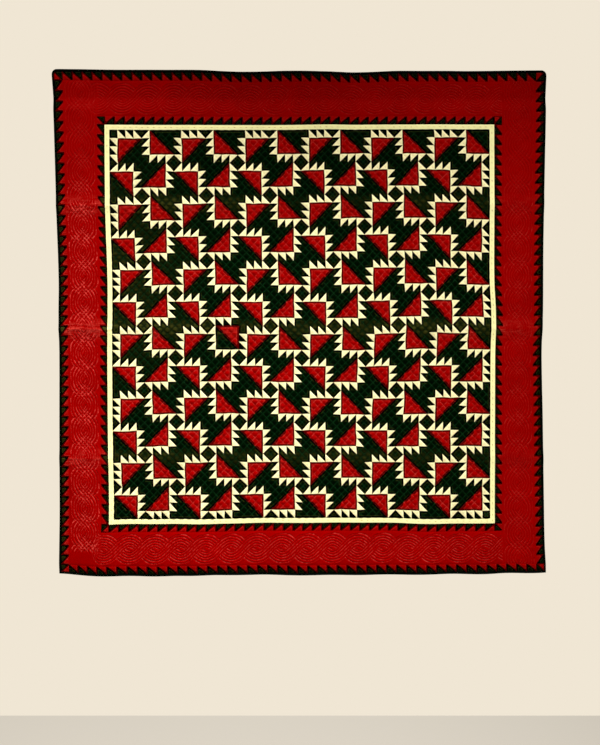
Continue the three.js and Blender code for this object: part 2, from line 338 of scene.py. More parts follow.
def faces_by_cloth(cloths, steps):
    """The faces of a pieced net, in a list for each cloth. Patches are parted along both diagonals."""
    rows, columns = cloths.shape[:2]
    line = columns * steps + 1
    row, column = np.indices((rows, columns)) * steps
    faces = {cloth: [] for cloth in np.unique(cloths).tolist()}

    def add(quarter, *corners):
        index = np.stack([(row + down) * line + column + across for down, across in corners], axis=-1)
        for cloth, found in faces.items():
            found.extend(index[cloths[..., quarter] == cloth].tolist())

    for down, across in np.ndindex(steps, steps):
        top_left = (down, across)
        top_right = (down, across + 1)
        bottom_left = (down + 1, across)
        bottom_right = (down + 1, across + 1)
        above_falling = across > down
        above_rising = across + down < steps - 1
        if across == down:
            add(NORTH if above_rising else EAST, top_left, bottom_right, top_right)
            add(WEST if above_rising else SOUTH, top_left, bottom_left, bottom_right)
        elif across + down == steps - 1:
            add(NORTH if above_falling else WEST, top_left, bottom_left, top_right)
            add(EAST if above_falling else SOUTH, bottom_left, bottom_right, top_right)
        else:
            upper = NORTH if above_falling else WEST
            lower = EAST if above_falling else SOUTH
            add(upper if above_rising else lower, top_left, bottom_left, bottom_right, top_right)
    return faces


class Shade:
    """A socket of a material's nodes. Sums on it add Math nodes."""

    def __init__(self, tree, socket=None):
        self.tree = tree
        self.socket = socket

    def node(self, kind, settings=None, sockets=None, output=0):
        """A new node: its settings first, then the values or links of its sockets."""
        made = self.tree.nodes.new(kind)
        for key, value in (settings or {}).items():
            setattr(made, key, value)
        for key, value in (sockets or {}).items():
            if isinstance(value, Shade):
                self.tree.links.new(value.socket, made.inputs[key])
            else:
                made.inputs[key].default_value = value
        return None if output is None else Shade(self.tree, made.outputs[output])

    def sum(self, operation, *values):
        return self.node("ShaderNodeMath", {"operation": operation}, dict(enumerate(values)))

    def __add__(self, other):
        return self.sum("ADD", self, other)

    def __sub__(self, other):
        return self.sum("SUBTRACT", self, other)

    def __rsub__(self, other):
        return self.sum("SUBTRACT", other, self)

    def __mul__(self, other):
        return self.sum("MULTIPLY", self, other)

    __radd__ = __add__
    __rmul__ = __mul__

    def clamped(self):
        return self.node("ShaderNodeClamp", sockets={"Value": self})

    def feeds(self, shader, key):
        """Links this to one of a shader's sockets."""
        self.tree.links.new(self.socket, shader.inputs[key])

    def mix(self, colour, other):
        """From a colour, where this is 0, to the other, where it is 1. A Mix node has several sockets of one
        name, so these go by number."""
        return self.node("ShaderNodeMix", {"data_type": "RGBA"}, {0: self, 6: colour, 7: other}, 2)

    def scaled(self, colour):
        """A colour made lighter or darker by this."""
        return self.node("ShaderNodeVectorMath", {"operation": "SCALE"}, {0: colour, "Scale": self})


def dye(red, green, blue):
    """A colour from its parts of 255, as a screen shows it."""
    parts = np.array((red, green, blue)) / 255
    linear = np.where(parts <= 0.04045, parts / 12.92, ((parts + 0.055) / 1.055) ** 2.4)
    return (*linear.tolist(), 1.0)


# How uneven the dye is, from broad to fine, and how far that lightens or darkens the cloth
CLOUDS = dict(scale=7, detail=3)
BLOTCHES = dict(scale=38, detail=2)
SPECKS = dict(scale=420, detail=2)
CLOUD_SHADE = 0.30
BLOTCH_SHADE = 0.22
SPECK_SHADE = 0.18
# Short puckers break up the rows of quilting, and level streaks break up the worn places
PUCKERS = dict(scale=125, detail=1, middle=0.45, contrast=6)
STREAKS = dict(scale=36, detail=2, middle=0.44, contrast=5)
STREAK_FLATTENING = (1, 1, 4)
ROW_WEAR = 0.05
ALLOWANCE_WEAR = 0.5
WEAVE_PITCH = 0.75 * MM
WEAVE_RELIEF = 0.08 * MM
SPECK_RELIEF = 1.5 * WEAVE_RELIEF
SLUB_RELIEF = 1.2 * WEAVE_RELIEF
SLUBS = dict(scale=110, detail=2)
WRINKLE_RELIEF = 1.5 * MM
GROOVE_DEPTH = 1.2 * MM
RELIEF_STRENGTH = 0.5
ROUGHNESS_SPREAD = 0.2
GLOSS = 0.002


def new_finish(name):
    """A new material, a Shade to add its nodes with, and its shader."""
    finish = bpy.data.materials.new(name)
    finish.use_nodes = True
    return finish, Shade(finish.node_tree), finish.node_tree.nodes["Principled BSDF"]


def cotton(
    name, colour, rows, faded,
    seam_shade_strength=0.0, rubbed_edges=0.0, roughness=0.8, broken=0.7, evenly_worn=0.0, grooves=None,
):
    """Dyed cotton: cloudy colour, a plain weave, and rows where it is quilted painted in a row colour and
    broken
    up: a painted highlight on the red and green, with worn thread on the red, and painted shade on the cream
    and the back. Painted shade along the seams, painted light by them on cream, level wrinkles with the dye
    rubbed off at creases, and pale lines where the edge of a seam allowance lies under the cloth. Rows that a
    mesh is too coarse for are grooves, from its marks."""
    finish, cloth, shader = new_finish(name)
    place = cloth.node("ShaderNodeTexCoord", output="Object")

    def noise(scale, detail, at=place):
        return cloth.node("ShaderNodeTexNoise", sockets={"Vector": at, "Scale": scale, "Detail": detail})

    def spots(scale, detail, middle, contrast, at=place):
        return ((noise(scale, detail, at) - middle) * contrast).clamped()

    def marked(key):
        return cloth.node("ShaderNodeAttribute", {"attribute_name": key}, output="Fac")

    def threads(axis):
        along = cloth.node("ShaderNodeSeparateXYZ", sockets={0: place}, output=axis)
        return cloth.sum("SINE", along * (2 * np.pi / WEAVE_PITCH))

    puckers = spots(**PUCKERS)
    multiply = {"operation": "MULTIPLY"}
    flattened = cloth.node("ShaderNodeVectorMath", multiply, {0: place, 1: STREAK_FLATTENING})
    streaks = spots(**STREAKS, at=flattened)
    wear = at_least(evenly_worn, streaks) * marked("fade") * at_least(ROW_WEAR, marked("crown"))
    off_seam = marked("off_seam")
    allowance = (1 - cloth.sum("ABSOLUTE", off_seam - SEAM_ALLOWANCE) * (1 / ALLOWANCE_EDGE)).clamped()
    worn = wear + rubbed_edges * allowance * at_least(ALLOWANCE_WEAR, puckers)
    row = marked("row")
    if grooves:
        groove = grooves(cloth, marked)
        row = cloth.sum("MAXIMUM", row, groove)
    # The rows painted in the row colour: a painted highlight on the red and green, painted shade on the cream
    # and the back
    painted_rows = row.clamped() * at_least(1 - broken, puckers)
    tint = worn.clamped().mix(painted_rows.mix(colour, rows), faded)
    # Painted shade in the ditch along each seam; where the strength is below 0 it paints light there instead,
    # as on the cream
    seam = ((SEAM_REACH - off_seam) * (1 / (SEAM_REACH - SEAM_SHADE_FULL))).clamped()
    specks = noise(**SPECKS) - 0.5
    uneven = CLOUD_SHADE * (noise(**CLOUDS) - 0.5) + BLOTCH_SHADE * (noise(**BLOTCHES) - 0.5)
    # The dye's unevenness and the painted seam shade together
    light = 1 + uneven + SPECK_SHADE * specks - seam_shade_strength * seam
    light.scaled(tint).feeds(shader, "Base Color")
    (roughness + ROUGHNESS_SPREAD * specks).feeds(shader, "Roughness")

    weave = WEAVE_RELIEF * (threads("X") * threads("Z"))
    height = weave + SPECK_RELIEF * specks + SLUB_RELIEF * noise(**SLUBS)
    height = height + WRINKLE_RELIEF * (streaks * marked("fade"))
    if grooves:
        height = height - groove * GROOVE_DEPTH
    bumps = {"Strength": RELIEF_STRENGTH, "Distance": 1.0, "Height": height}
    cloth.node("ShaderNodeBump", sockets=bumps).feeds(shader, "Normal")
    shader.inputs["Specular IOR Level"].default_value = GLOSS
    return finish


def placed(name, data):
    """An object in the scene, from its data."""
    made = bpy.data.objects.new(name, data)
    bpy.context.scene.collection.objects.link(made)
    return made


def cloth_piece(name, u, v, height, faces, marks, finish, nodes=(), layout=None):
    """A piece of cloth on those points of a flat net that its faces use, hung, marked, and laid out flat for
    its maps. It stands for the nodes."""
    used = np.unique(np.concatenate([np.asarray(face) for face in faces]))
    u, v, height = (np.ravel(values)[used] for values in (u, v, height))
    renumbered = np.zeros(used[-1] + 1, int)
    renumbered[used] = np.arange(len(used))
    mesh = bpy.data.meshes.new(name)
    mesh.from_pydata(hung(u, v, height).tolist(), [], [renumbered[face].tolist() for face in faces])
    mesh.shade_smooth()
    for key, values in marks.items():
        mark = mesh.attributes.new(key, "FLOAT", "POINT")
        mark.data.foreach_set("value", np.ravel(values)[used].astype(np.float32))
    layout = np.stack([u, v], axis=-1) if layout is None else layout[used]
    layout = (layout - layout.min(axis=0)) / np.ptp(layout, axis=0)
    corner = np.zeros(len(mesh.loops), np.int32)
    mesh.loops.foreach_get("vertex_index", corner)
    mesh.uv_layers.new(name="OFBake").data.foreach_set("uv", layout[corner].ravel())
    mesh.materials.append(finish)
    piece = placed(name, mesh)
    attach(piece, "root")
    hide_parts(*nodes)
    return piece


upper_left = sawtooth_unit()
lower_left = quarter_turn(upper_left)
lower_right = quarter_turn(lower_left)
upper_right = quarter_turn(lower_right)
even_row = np.concatenate([upper_left, lower_left], axis=1)
odd_row = np.concatenate([upper_right, lower_right], axis=1)
field_cloths = np.tile(np.concatenate([even_row, odd_row]), (UNITS_ACROSS // 2, UNITS_ACROSS // 2, 1))

# One unit has the colours of its large square the wrong way round
ODD_UNIT_ROW = 6
ODD_UNIT_COLUMN = 3
odd_top = ODD_UNIT_ROW * UNIT_PATCHES
odd_left = ODD_UNIT_COLUMN * UNIT_PATCHES + 1
odd_square = field_cloths[odd_top : odd_top + SQUARE_PATCHES, odd_left : odd_left + SQUARE_PATCHES]
odd_square[...] = np.where(odd_square == RED, GREEN, RED)

CLOTH = 3 * MM
FIELD_PUFF = 4.4 * MM
# How strongly the crossed rows are painted in each cloth's row colour
FIELD_ROW_PAINT = {GREEN: 0.95, RED: 0.58, CREAM: 0.12}
# The rows are painted more faintly in the upper rows of units
UPPER_ROWS = dict(least=0.7, down=0.26, reach=0.16)
ROW_SHARPNESS = 3.2
# The green has faded to olive on the left, above the middle
OLIVE = dict(most=0.55, across=0.34, down=0.40, reach=0.28)
PUFF_ROUNDNESS = 0.85
PUFF_FULLNESS = (0.7, 1.2)
SEAM_DITCH = 0.5 * MM
SEAM_HOLD = 0.6


def in_patches(u, v):
    """Places across and down the pieced centre, counted in patches."""
    return (u + FIELD_HALF) / PATCH, (FIELD_HALF - v) / PATCH


def crossed_rows(across, down):
    """How full the cloth is between the crossed rows of quilting, from 0 on a row to 1."""
    return np.abs(np.sin(np.pi * (across + down)) * np.sin(np.pi * (across - down))) ** PUFF_ROUNDNESS


def off_crossed_rows(across, down):
    """How far a place is from the nearest of the crossed rows, from 0 on a row to 1 between two."""
    rising = np.abs(np.sin(np.pi * (across + down)))
    return np.minimum(rising, np.abs(np.sin(np.pi * (across - down))))


def painted_row_share(off_row, shows):
    """How strongly a row of quilting is painted in its cloth's row colour: most on the row, and below 0 away
    from it.
    """
    return shows * (1 - ROW_SHARPNESS * off_row)


def uneven_puffs(across, down):
    """How much fuller or flatter one puff is than the next."""
    rising = np.clip((across + down).astype(int), 0, 2 * PATCHES_ACROSS - 1)
    falling = np.clip((across - down + PATCHES_ACROSS).astype(int), 0, 2 * PATCHES_ACROSS - 1)
    fullness = np.random.default_rng(seed=5).uniform(*PUFF_FULLNESS, (2 * PATCHES_ACROSS,) * 2)
    return fullness[rising, falling]


# Row colours: a painted highlight on the red, with worn thread, and on the green; painted shade of the sunk
# rows on the cream
red_cotton = cotton(
    "red_cotton", dye(144, 0, 0), rows=dye(212, 66, 58), faded=dye(190, 54, 44),
    seam_shade_strength=0.75, rubbed_edges=0.65, roughness=0.5, broken=0.95,
)
green_cotton = cotton(
    "green_cotton", dye(1, 11, 1), rows=dye(16, 54, 25), faded=dye(70, 70, 26),
    seam_shade_strength=0.99, rubbed_edges=0.6, roughness=0.5, broken=0.6, evenly_worn=0.5,
)
cream_cotton = cotton(
    "cream_cotton", dye(228, 218, 167), rows=dye(166, 146, 84), faded=dye(218, 208, 158), seam_shade_strength=-0.30
)
CLOTHS = {GREEN: ("green", green_cotton, "pieced_cloth"), RED: ("red", red_cotton, "red_cloth"),
          CREAM: ("cream", cream_cotton, "cream_cloth")}

field_edges = np.linspace(-FIELD_HALF, FIELD_HALF, PATCHES_ACROSS + 1)
field_wander = hand_wander(PATCHES_ACROSS, PATCHES_ACROSS, seed=11)
field = pieced_net(field_cloths, field_edges, -field_edges, field_wander)
u, v, across, down, off_seam = (field[key] for key in ("u", "v", "across", "down", "off_seam"))
crown = crossed_rows(across, down)
puff = FIELD_PUFF * crown * uneven_puffs(across, down) * (1 - SEAM_HOLD * near_seam(off_seam, HELD_REACH))
height = CLOTH + puff - SEAM_DITCH * near_seam(off_seam, SEAM_REACH)
off_row = off_crossed_rows(across, down)
creased = rubbed(u, v)
from_left, from_top = shares(u, v)
olive = OLIVE["most"] * bump(from_top - OLIVE["down"], OLIVE["reach"])
olive = olive * (1 - smooth(from_left / OLIVE["across"]))
rows_seen = at_least(UPPER_ROWS["least"], smooth((from_top - UPPER_ROWS["down"]) / UPPER_ROWS["reach"]))
for cloth, faces in faces_by_cloth(field_cloths, len(STEP_SHARES)).items():
    colour_name, finish, slot = CLOTHS[cloth]
    fade = creased
    shows = FIELD_ROW_PAINT[cloth] * rows_seen
    if cloth == GREEN:
        fade = np.maximum(creased, olive)
        shows = shows * (1 - fade)
    marks = dict(crown=crown, off_seam=off_seam, fade=fade, row=painted_row_share(off_row, shows))
    cloth_piece(
        f"{colour_name}_patches", u, v, height, faces, marks, finish, ["centre_field"]
    )

# The cream frame
# Four narrow strips of cream cotton sewn round the pieced centre, the side ones the full height and the
# others butted between them. One row of quilting runs along the middle of each and draws it in.
SIDES = ("left", "right")
FRAME_SWELL = 0.25 * MM
FRAME_ROUNDNESS = 0.6
FRAME_NET = 3.2 * MM
FRAME_PUCKER = 11.5 * MM
FRAME_PUCKER_DEPTH = 0.15
# Painted shade of the dimples at the stitches along the middle row: their pitch, reach and strength
FRAME_DOTS = 23 * MM
FRAME_DOT_REACH = 6 * MM
FRAME_DIMPLE_SHADE = 1.3
# Its row colour is the painted shade of those dimples
frame_cotton = cotton(
    "frame_cotton", dye(229, 224, 160), rows=dye(184, 170, 104), faded=dye(220, 214, 152), seam_shade_strength=-0.30
)


def strip_spans(inner_half, outer_half):
    """Four strips round a square: the left, right, low and high edges of each."""
    return {
        "left": (-outer_half, -inner_half, -outer_half, outer_half),
        "right": (inner_half, outer_half, -outer_half, outer_half),
        "top": (-inner_half, inner_half, inner_half, outer_half),
        "bottom": (-inner_half, inner_half, -outer_half, -inner_half),
    }


def net_faces(rows, columns):
    """The faces of a net of points that run from row to row."""
    row, column = np.indices((rows, columns))
    corner = (row * (columns + 1) + column).ravel()
    return np.stack([corner, corner + columns + 1, corner + columns + 2, corner + 1], axis=-1)


def plain_net(left, right, low, high, step):
    """An even net over a rectangle of the flat quilt, and its faces."""
    columns = int(np.ceil((right - left) / step))
    rows = int(np.ceil((high - low) / step))
    u, v = np.meshgrid(np.linspace(left, right, columns + 1), np.linspace(high, low, rows + 1))
    return u, v, net_faces(rows, columns)


def along_and_over(place, u, v):
    """Places along a strip, from its left or upper end, and over it, outwards from the quilt's middle."""
    return (-v, np.abs(u)) if place in SIDES else (u, np.abs(v))


for place, span in strip_spans(FIELD_HALF, FRAME_HALF).items():
    u, v, faces = plain_net(*span, FRAME_NET)
    along, over = along_and_over(place, u, v)
    share = (over - FIELD_HALF) / FRAME_WIDTH
    puckers = 1 - FRAME_PUCKER_DEPTH * (1 - np.sin(2 * np.pi * along / FRAME_PUCKER))
    crown = puckers * np.abs(np.sin(2 * np.pi * share)) ** FRAME_ROUNDNESS
    off_seam = np.minimum(share, 1 - share) * FRAME_WIDTH
    height = CLOTH + FRAME_SWELL * crown - SEAM_DITCH * near_seam(off_seam, SEAM_REACH)
    # The seams' painted light is spread evenly over the whole strip
    even_light = np.minimum(off_seam, SEAM_SHADE_FULL)
    dimple_shade = bump(along % FRAME_DOTS - FRAME_DOTS / 2, FRAME_DOT_REACH)
    row = painted_row_share(np.abs(2 * share - 1), FRAME_DIMPLE_SHADE * dimple_shade)
    marks = dict(crown=crown, off_seam=even_light, fade=rubbed(u, v), row=row)
    cloth_piece(
        f"cream_strip_{place}", u, v, height, faces, marks, frame_cotton, [f"frame_{place}"]
    )

# The two rows of teeth
# Strips of small squares, each halved in red and green, inside and outside the red border. They run on round
# the quilt, and a square fills each corner. Each triangle swells a little between its narrow seams.
TEETH_SWELL = 1.8 * MM
# The teeth's painted seam shade and pale allowance lines are drawn at half the distances of the centre's
TEETH_SEAM_SHARE = 0.5
# The outer row has faded on the left, below the top
LEFT_FADE = dict(most=0.22, down=0.10, reach=0.25)
CORNER_HALVES = {
    "upper left": "upper_right", "upper right": "lower_right",
    "lower right": "lower_left", "lower left": "upper_left",
}
TEETH_ROWS = {
    "inner": dict(
        inner_half=FRAME_HALF, outer_half=RED_INNER_HALF, seed=20,
        counts=dict(left=40, right=40, top=40, bottom=40),
        plain_side=dict(left="left", right="right", top="top", bottom="bottom"),
        green=dict(left="upper_right", right="lower_left", top="lower_right", bottom="upper_left"),
    ),
    "outer": dict(
        inner_half=RED_OUTER_HALF, outer_half=BINDING_INNER_HALF, seed=21,
        counts=dict(left=48, right=48, top=48, bottom=47),
        plain_side=dict(left="right", right="left", top="bottom", bottom="top"),
        green=dict(left="upper_left", right="lower_right", top="upper_right", bottom="lower_left"),
    ),
}


def triangle_crown(net, cloths):
    """How full each half of a halved patch is: 0 at its three seams, and 1 at its middle, where the product
    of the shares of the way from each is a 27th."""
    p, q = net["p"], net["q"]
    falls = (cloths[..., NORTH] != cloths[..., WEST])[net["row"], net["column"]]
    falling = np.where(p > q, q * (1 - p) * (p - q), p * (1 - q) * (q - p))
    rising = np.where(p + q < 1, p * q * (1 - p - q), (1 - p) * (1 - q) * (p + q - 1))
    return np.sqrt(np.maximum(27 * np.where(falls, falling, rising), 0))


for row_name, teeth in TEETH_ROWS.items():
    inner_half = teeth["inner_half"]
    outer_half = teeth["outer_half"]
    strips = []
    row_faces = {GREEN: [], RED: []}
    for place, span in strip_spans(inner_half, outer_half).items():
        count = teeth["counts"][place]
        patches = [split_patch(teeth["green"][place], GREEN, RED)] * count
        ends = np.linspace(-inner_half, inner_half, count + 1)
        if place in SIDES:
            upper = split_patch(CORNER_HALVES[f"upper {place}"], GREEN, RED)
            lower = split_patch(CORNER_HALVES[f"lower {place}"], GREEN, RED)
            cloths = np.array([upper, *patches, lower])[:, None]
            edges = (span[:2], np.concatenate([[outer_half], -ends, [-outer_half]]))
        else:
            cloths = np.array(patches)[None]
            edges = (ends, span[:1:-1])
        wander = hand_wander(*cloths.shape[:2], teeth["seed"])
        net = pieced_net(cloths, *edges, wander, teeth["plain_side"][place])
        first = sum(len(strip["u"]) for strip in strips)
        strips.append(dict(net, crown=triangle_crown(net, cloths)))
        for cloth, faces in faces_by_cloth(cloths, len(STEP_SHARES)).items():
            row_faces[cloth].extend([[first + point for point in face] for face in faces])
    u, v, crown, off_seam = (
        np.concatenate([strip[key] for strip in strips]) for key in ("u", "v", "crown", "off_seam")
    )
    height = CLOTH + TEETH_SWELL * crown - SEAM_DITCH * near_seam(off_seam, SEAM_REACH)
    below = smooth((shares(u, v)[1] - LEFT_FADE["down"]) / LEFT_FADE["reach"])
    fade = np.maximum(rubbed(u, v), LEFT_FADE["most"] * below * (u < -RED_OUTER_HALF))
    marks = dict(crown=crown, off_seam=off_seam / TEETH_SEAM_SHARE, fade=fade, row=np.zeros_like(u))
    for cloth, faces in row_faces.items():
        colour_name, finish, slot = CLOTHS[cloth]
        cloth_piece(
            f"{row_name}_{colour_name}_teeth", u, v, height, faces, marks, finish,
            [f"{row_name}_teeth_{place}" for place in teeth["counts"]],
        )

# The red border
# Four panels of red cotton, the side ones the full height and the others butted between them. Each is
# quilted with a cable: two strands of six rows that part round a row of eyes and cross between them as
# a net. In the top and bottom panels the rows of the rising strand are the deeper ones.
CABLE_SWING = 32.5 * MM
CABLE_END = 891 * MM
END_ROUNDNESS = 1.6
ROW_GAP = 10.2 * MM
STRAND_HALF_ROWS = 2.5
CABLE_PUFF = 2.4 * MM
# Outside the strands the cloth is flatter, and it rises to that in less than the gap of a row
OUTSIDE_FULLNESS = 0.45
OUTSIDE_RISE = 0.7
UNDER_DEPTH = 0.6
PANEL_EDGE = 9 * MM
RED_NET = 2.3 * MM
# In the side panels the rows' painted highlight is weaker where they run upright round the eyes, which light
# from above catches least, and weakest at the top, where less light falls
SIDE_ROW_LIGHT = dict(eyes=0.3, top=0.12, down=0.16, reach=0.14)
# Each panel's rows_show is how strongly its rows are painted lighter: a painted highlight, with worn thread
CABLES = {
    "left": dict(first_eye=43 * MM, eye_pitch=101.4 * MM, slope=1.4, woven=False, rows_show=1.2),
    "right": dict(first_eye=40 * MM, eye_pitch=102.0 * MM, slope=1.4, woven=False, rows_show=0.25),
    "top": dict(first_eye=0 * MM, eye_pitch=101.6 * MM, slope=1.0, woven=True, rows_show=0.2),
    "bottom": dict(first_eye=10 * MM, eye_pitch=102.8 * MM, slope=1.0, woven=True, rows_show=0.75),
}


def cable_turn(place, along):
    """The angle of a cable's swing at places along its panel."""
    start = -RED_OUTER_HALF if place in SIDES else -RED_INNER_HALF
    cable = CABLES[place]
    return np.pi * (along - start - cable["first_eye"]) / cable["eye_pitch"]


def row_gap(place, turn):
    """The gap between a strand's rows, straight over the panel: wider where the strand slants."""
    return ROW_GAP * np.hypot(1, CABLES[place]["slope"] * np.sin(turn))


def strand_rows(place, turn, off_middle, side):
    """How many rows a place lies from the middle of a strand."""
    return (off_middle - side * CABLE_SWING * np.cos(turn)) / row_gap(place, turn)


def strand_fullness(rows):
    """How full the cloth is between a strand's rows and outside the strand."""
    past = np.abs(rows) - STRAND_HALF_ROWS
    return np.where(past < 0, np.cos(np.pi * rows) ** 2, smooth(past / OUTSIDE_RISE))


def over_side(turn):
    """Which strand, 1 or -1, rises to the right and so lies over the other."""
    return np.where(np.sin(turn) < 0, 1, -1)


def cable_crown(place, along, off_middle):
    """How full the cloth is between the rows of a cable, and whether it lies outside the strands."""
    turn = cable_turn(place, along)
    upper = over_side(turn)
    over_rows = strand_rows(place, turn, off_middle, upper)
    over = strand_fullness(over_rows)
    under_rows = strand_rows(place, turn, off_middle, -upper)
    under = strand_fullness(under_rows)
    full = np.where(np.abs(over_rows) < STRAND_HALF_ROWS, over, under)
    crossing = (np.abs(over_rows) < STRAND_HALF_ROWS) & (np.abs(under_rows) < STRAND_HALF_ROWS)
    depth = UNDER_DEPTH if CABLES[place]["woven"] else 1
    full = np.where(crossing, np.minimum(over, 1 - depth * (1 - under)), full)
    outside = smooth(np.minimum(np.abs(over_rows), np.abs(under_rows)) - STRAND_HALF_ROWS)
    return full, outside


def off_panel_middle(place, u, v):
    """How far a place lies above the middle line of its panel, or to the right of it."""
    middle = (RED_INNER_HALF + RED_OUTER_HALF) / 2
    return {"left": u + middle, "right": u - middle, "top": v - middle, "bottom": v + middle}[place]


def end_rows(place, u, v):
    """How many rows a place lies from the round left end of the top or bottom cable, in the left panel."""
    past = -RED_INNER_HALF - u
    reach = np.hypot(END_ROUNDNESS * past, off_panel_middle(place, u, v))
    return strand_rows(place, cable_turn(place, -RED_INNER_HALF), reach, 1)


red_spans = strip_spans(RED_INNER_HALF, RED_OUTER_HALF)
panel_heights = {}
for place, span in red_spans.items():
    u, v, faces = plain_net(*span, RED_NET)
    along, over = along_and_over(place, u, v)
    crown, outside = cable_crown(place, along, off_panel_middle(place, u, v))
    if place == "left":
        ended = smooth((along - CABLE_END) / ROW_GAP)
        crown = np.maximum(crown, ended)
        outside = np.maximum(outside, ended)
        for other in ("top", "bottom"):
            rows = end_rows(other, u, v)
            crown = np.minimum(crown, strand_fullness(rows))
            outside = np.minimum(outside, smooth(np.abs(rows) - STRAND_HALF_ROWS))
    to_side = np.minimum(over - RED_INNER_HALF, RED_OUTER_HALF - over)
    to_end = np.abs(along).max() - np.abs(along)
    rise = smooth(np.minimum(to_side, to_end) / PANEL_EDGE)
    height = CLOTH + CABLE_PUFF * crown * rise * at_least(OUTSIDE_FULLNESS, 1 - outside)
    panel_heights[place] = height
    fade = rubbed(u, v)
    shows = CABLES[place]["rows_show"] * (1 + fade)
    if not CABLES[place]["woven"]:
        crossing = np.abs(np.sin(cable_turn(place, along)))
        below = smooth((shares(u, v)[1] - SIDE_ROW_LIGHT["down"]) / SIDE_ROW_LIGHT["reach"])
        shows = shows * at_least(SIDE_ROW_LIGHT["eyes"], crossing) * at_least(SIDE_ROW_LIGHT["top"], below)
    marks = dict(crown=crown, off_seam=np.full_like(u, PATCH), fade=fade, row=painted_row_share(crown, shows))
    cloth_piece(
        f"red_panel_{place}", u, v, height, faces, marks, red_cotton, [f"red_border_{place}"]
    )

# The binding
# A folded strip of near-black green cotton, wrapped over the raw edges on all four sides and sewn down on
# both faces. Its corners are mitred, and the two at the top are rounded.
BINDING_NET = 6 * MM
BINDING_PUCKER = 0.25 * MM
# The strip's section: how far in from the quilt's edge, and how high above its back, in millimetres
BINDING_SECTION = dict(
    inset=(8.3, 7.6, 6.0, 3.6, 1.6, 0.4, 0.0, 0.5, 1.8, 5.0, 9.0, 10.0),
    height=(2.6, 3.7, 4.5, 4.8, 4.4, 3.3, 2.1, 0.9, 0.2, 0.0, 0.0, 0.8),
)
BINDING_SEEDS = dict(left=40, right=41, top=42, bottom=43)
binding_cotton = cotton(
    "binding_cotton", dye(3, 8, 4), rows=dye(2, 5, 3), faded=dye(16, 18, 9), seam_shade_strength=0.3, roughness=0.7
)

inset = np.array(BINDING_SECTION["inset"]) * MM
section_height = np.array(BINDING_SECTION["height"]) * MM
steps_along = int(2 * HALF / BINDING_NET)
share, edge_inset = np.meshgrid(np.linspace(0, 1, steps_along + 1), inset, indexing="ij")
section_run = np.broadcast_to(np.arange(len(inset)), share.shape)
edge = HALF - edge_inset
run = (2 * share - 1) * edge
layout = np.stack([run.ravel(), section_run.ravel()], axis=-1)
faces = net_faces(steps_along, len(inset) - 1)[:, [0, 3, 2, 1]]
on_face = bump(section_height - section_height.max(), section_height.max())
for place, seed in BINDING_SEEDS.items():
    u, v = {"left": (-edge, -run), "right": (edge, run), "top": (-run, edge), "bottom": (run, -edge)}[place]
    pucker = np.random.default_rng(seed).normal(0, BINDING_PUCKER, steps_along + 1)
    height = section_height + pucker[:, None] * on_face
    marks = dict(
        crown=np.clip(height / section_height.max(), 0, 1),
        off_seam=section_run * PATCH,
        fade=rubbed(u, v),
        row=np.zeros_like(u),
    )
    cloth_piece(
        f"binding_strip_{place}", u, v, height, faces, marks, binding_cotton,
        [f"binding_{place}"], layout,
    )

# The plain back
# One layer of unbleached cotton behind the patchwork. The quilting holds it to the front, so that it is drawn
# in along the rows and swells between them. The binding covers its edges.
BACK_STEPS_PER_PATCH = 4
BACK_TEETH_STEPS = 3
BACK_BORDER_STEPS = 8
BACK_HALF = HALF - BINDING_WIDTH / 2
BACK_HEIGHT = 0.2 * MM
BACK_DRAWN_IN = 1.7 * MM
BACK_GROOVE = 2.6 * MM
# The grooves of a cable stop this far from the ends of its panel
BACK_CABLE_END = 20 * MM
TINY = 0.01 * MM


def cable_grooves(cloth, marked):
    """The rows of both strands of a cable, from the angle of its swing and how far off its middle it is. They
    are bumped in and painted with shade in the row colour.
    """
    swing = cloth.sum("COSINE", marked("turn")) * CABLE_SWING
    slope = cloth.sum("SINE", marked("turn")) * marked("slope")
    gap = cloth.sum("SQRT", 1 + slope * slope) * ROW_GAP
    strand_edge = STRAND_HALF_ROWS + BACK_GROOVE / ROW_GAP
    lines = []
    for side in (1, -1):
        rows = cloth.sum("DIVIDE", marked("off_middle") - side * swing, gap)
        on_strand = cloth.sum("LESS_THAN", cloth.sum("ABSOLUTE", rows), strand_edge)
        off_row = cloth.sum("ABSOLUTE", cloth.sum("FRACT", rows) - 0.5)
        lines.append((1 - off_row * (ROW_GAP / BACK_GROOVE)).clamped() * on_strand)
    return cloth.sum("MAXIMUM", *lines) * marked("cabled")


# Its row colour is painted shade in the sunk rows and the cable's grooves
back_cotton = cotton(
    "back_cotton", dye(222, 209, 178), rows=dye(206, 190, 156), faded=dye(214, 200, 166),
    grooves=cable_grooves,
)
border_lines = np.concatenate([
    np.linspace(FIELD_HALF, RED_INNER_HALF, BACK_TEETH_STEPS + 1),
    np.linspace(RED_INNER_HALF, RED_OUTER_HALF, BACK_BORDER_STEPS + 1)[1:],
    np.linspace(RED_OUTER_HALF, BACK_HALF, BACK_TEETH_STEPS + 1)[1:],
])
field_lines = np.linspace(-FIELD_HALF, FIELD_HALF, PATCHES_ACROSS * BACK_STEPS_PER_PATCH + 1)
back_lines = np.concatenate([-border_lines[:0:-1], field_lines, border_lines[1:]])
u, v = np.meshgrid(back_lines, back_lines)
faces = net_faces(len(back_lines) - 1, len(back_lines) - 1)
in_field = np.maximum(np.abs(u), np.abs(v)) < FIELD_HALF
back = {key: np.zeros_like(u) for key in ("turn", "off_middle", "slope", "cabled")}
back["crown"] = np.where(in_field, crossed_rows(*in_patches(u, v)), 1)
back["row"] = np.where(in_field, painted_row_share(off_crossed_rows(*in_patches(u, v)), 1), 0)
